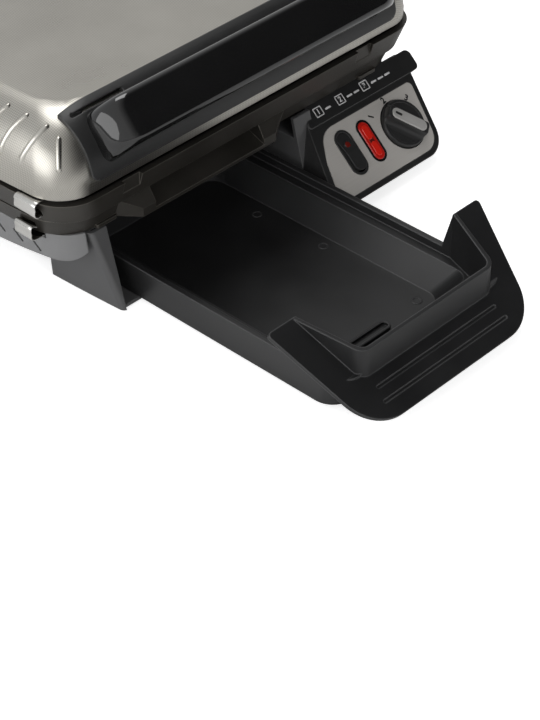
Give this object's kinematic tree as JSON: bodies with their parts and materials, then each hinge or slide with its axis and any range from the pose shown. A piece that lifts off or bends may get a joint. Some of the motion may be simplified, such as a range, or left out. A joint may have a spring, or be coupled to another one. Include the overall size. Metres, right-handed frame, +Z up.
{
  "type": "contact grill",
  "caption": "Countertop contact grill with hinged textured-steel lid, gloss handle, ribbed plates, sloped control panel with dial and rocker, and a pull-out drip tray.",
  "frame": {"origin": "on the worktop, below the middle of the whole object as it stands with the drip tray pulled out", "axes": "+Z up, -Y towards the user, +X to the user's right"},
  "size_m": [0.359, 0.4824, 0.1575],
  "materials": {
    "lid_steel": "fine pressed texture, satin champagne silver",
    "graphite": "satin dark graphite",
    "black_matte": "fine matt black",
    "black_gloss": "high gloss black",
    "tray_black": "soft satin black",
    "nonstick": "grey-brown metallic non-stick coat on die-cast aluminium",
    "panel_metal": "brushed warm grey",
    "pointer_metal": "satin bright",
    "spring_steel": "bright",
    "sheet_steel": "plain bright sheet",
    "shaft_steel": "ground steel",
    "heater_tube": "dark oxidised tube",
    "lens_red": "clear red",
    "lamp": "clear",
    "rubber": "matt",
    "inner_plastic": "heat-proof cream",
    "screw_steel": "zinc-plated"
  },
  "bodies": {
    "base": {"base_housing": "graphite", "base_cover": "black_matte", "base_screws": "screw_steel", "feet": "rubber", "side_shell_left": "graphite", "side_shell_right": "graphite", "panel_block": "black_matte", "panel_face": "panel_metal", "switch_case": "black_matte", "pilot_ring": "black_gloss", "pilot_lens": "lens_red", "pilot_lamp": "lamp", "thermostat": "inner_plastic", "lower_plate": "nonstick", "lower_heater": "heater_tube", "lower_heater_posts": "sheet_steel", "lower_reflector": "sheet_steel", "thermal_cutout": "inner_plastic", "tray_shield": "sheet_steel", "cord_gland": "rubber", "terminal_block": "inner_plastic"},
    "float_carriage": {"float_guide_left": "shaft_steel", "float_guide_right": "shaft_steel", "hinge_shaft": "shaft_steel", "shaft_clips": "spring_steel"},
    "lid": {"lid_shell": "lid_steel", "lid_frame": "graphite", "handle_bezel": "black_matte", "handle": "black_gloss", "handle_screws": "screw_steel", "upper_plate": "nonstick", "upper_heater": "heater_tube", "upper_heater_posts": "sheet_steel", "upper_reflector": "sheet_steel"},
    "tray": {"drip_tray": "tray_black"},
    "dial": {"dial_knob": "black_gloss", "dial_pointer": "pointer_metal", "dial_shaft": "shaft_steel"},
    "rocker": {"rocker_switch": "black_gloss"},
    "upper_left_clip": {"upper_clip_left": "spring_steel"},
    "upper_right_clip": {"upper_clip_right": "spring_steel"},
    "lower_left_clip": {"lower_clip_left": "spring_steel"},
    "lower_right_clip": {"lower_clip_right": "spring_steel"}
  },
  "joints": [
    {"name": "float_slide", "type": "slide", "parent": "base", "child": "float_carriage", "axis": [0, 0, 1], "range_m": [0, 0.025]},
    {"name": "lid_hinge", "type": "hinge", "parent": "float_carriage", "child": "lid", "pos_m": [0, 0.2319, 0.078], "axis": [-1, 0, 0], "range_deg": [0, 105]},
    {"name": "tray_slide", "type": "slide", "parent": "base", "child": "tray", "axis": [0, 1, 0], "range_m": [-0.04, 0.147]},
    {"name": "dial_turn", "type": "hinge", "parent": "base", "child": "dial", "pos_m": [0.1371, -0.04084, 0.02983], "axis": [0, 0.6756, -0.7373], "range_deg": [-15, 90]},
    {"name": "rocker_tilt", "type": "hinge", "parent": "base", "child": "rocker", "pos_m": [0.082, -0.03786, 0.02849], "axis": [1, 0, 0], "range_deg": [0, 14]},
    {"name": "upper_left_clip_hinge", "type": "hinge", "parent": "lid", "child": "upper_left_clip", "pos_m": [-0.1655, 0.0079, 0.0971], "axis": [0, 1, 0], "range_deg": [0, 6]},
    {"name": "upper_right_clip_hinge", "type": "hinge", "parent": "lid", "child": "upper_right_clip", "pos_m": [0.1655, 0.0079, 0.0971], "axis": [0, -1, 0], "range_deg": [0, 6]},
    {"name": "lower_left_clip_hinge", "type": "hinge", "parent": "base", "child": "lower_left_clip", "pos_m": [-0.159, 0.0179, 0.0604], "axis": [0, -1, 0], "range_deg": [0, 8]},
    {"name": "lower_right_clip_hinge", "type": "hinge", "parent": "base", "child": "lower_right_clip", "pos_m": [0.159, 0.0179, 0.0604], "axis": [0, 1, 0], "range_deg": [0, 8]}
  ]
}
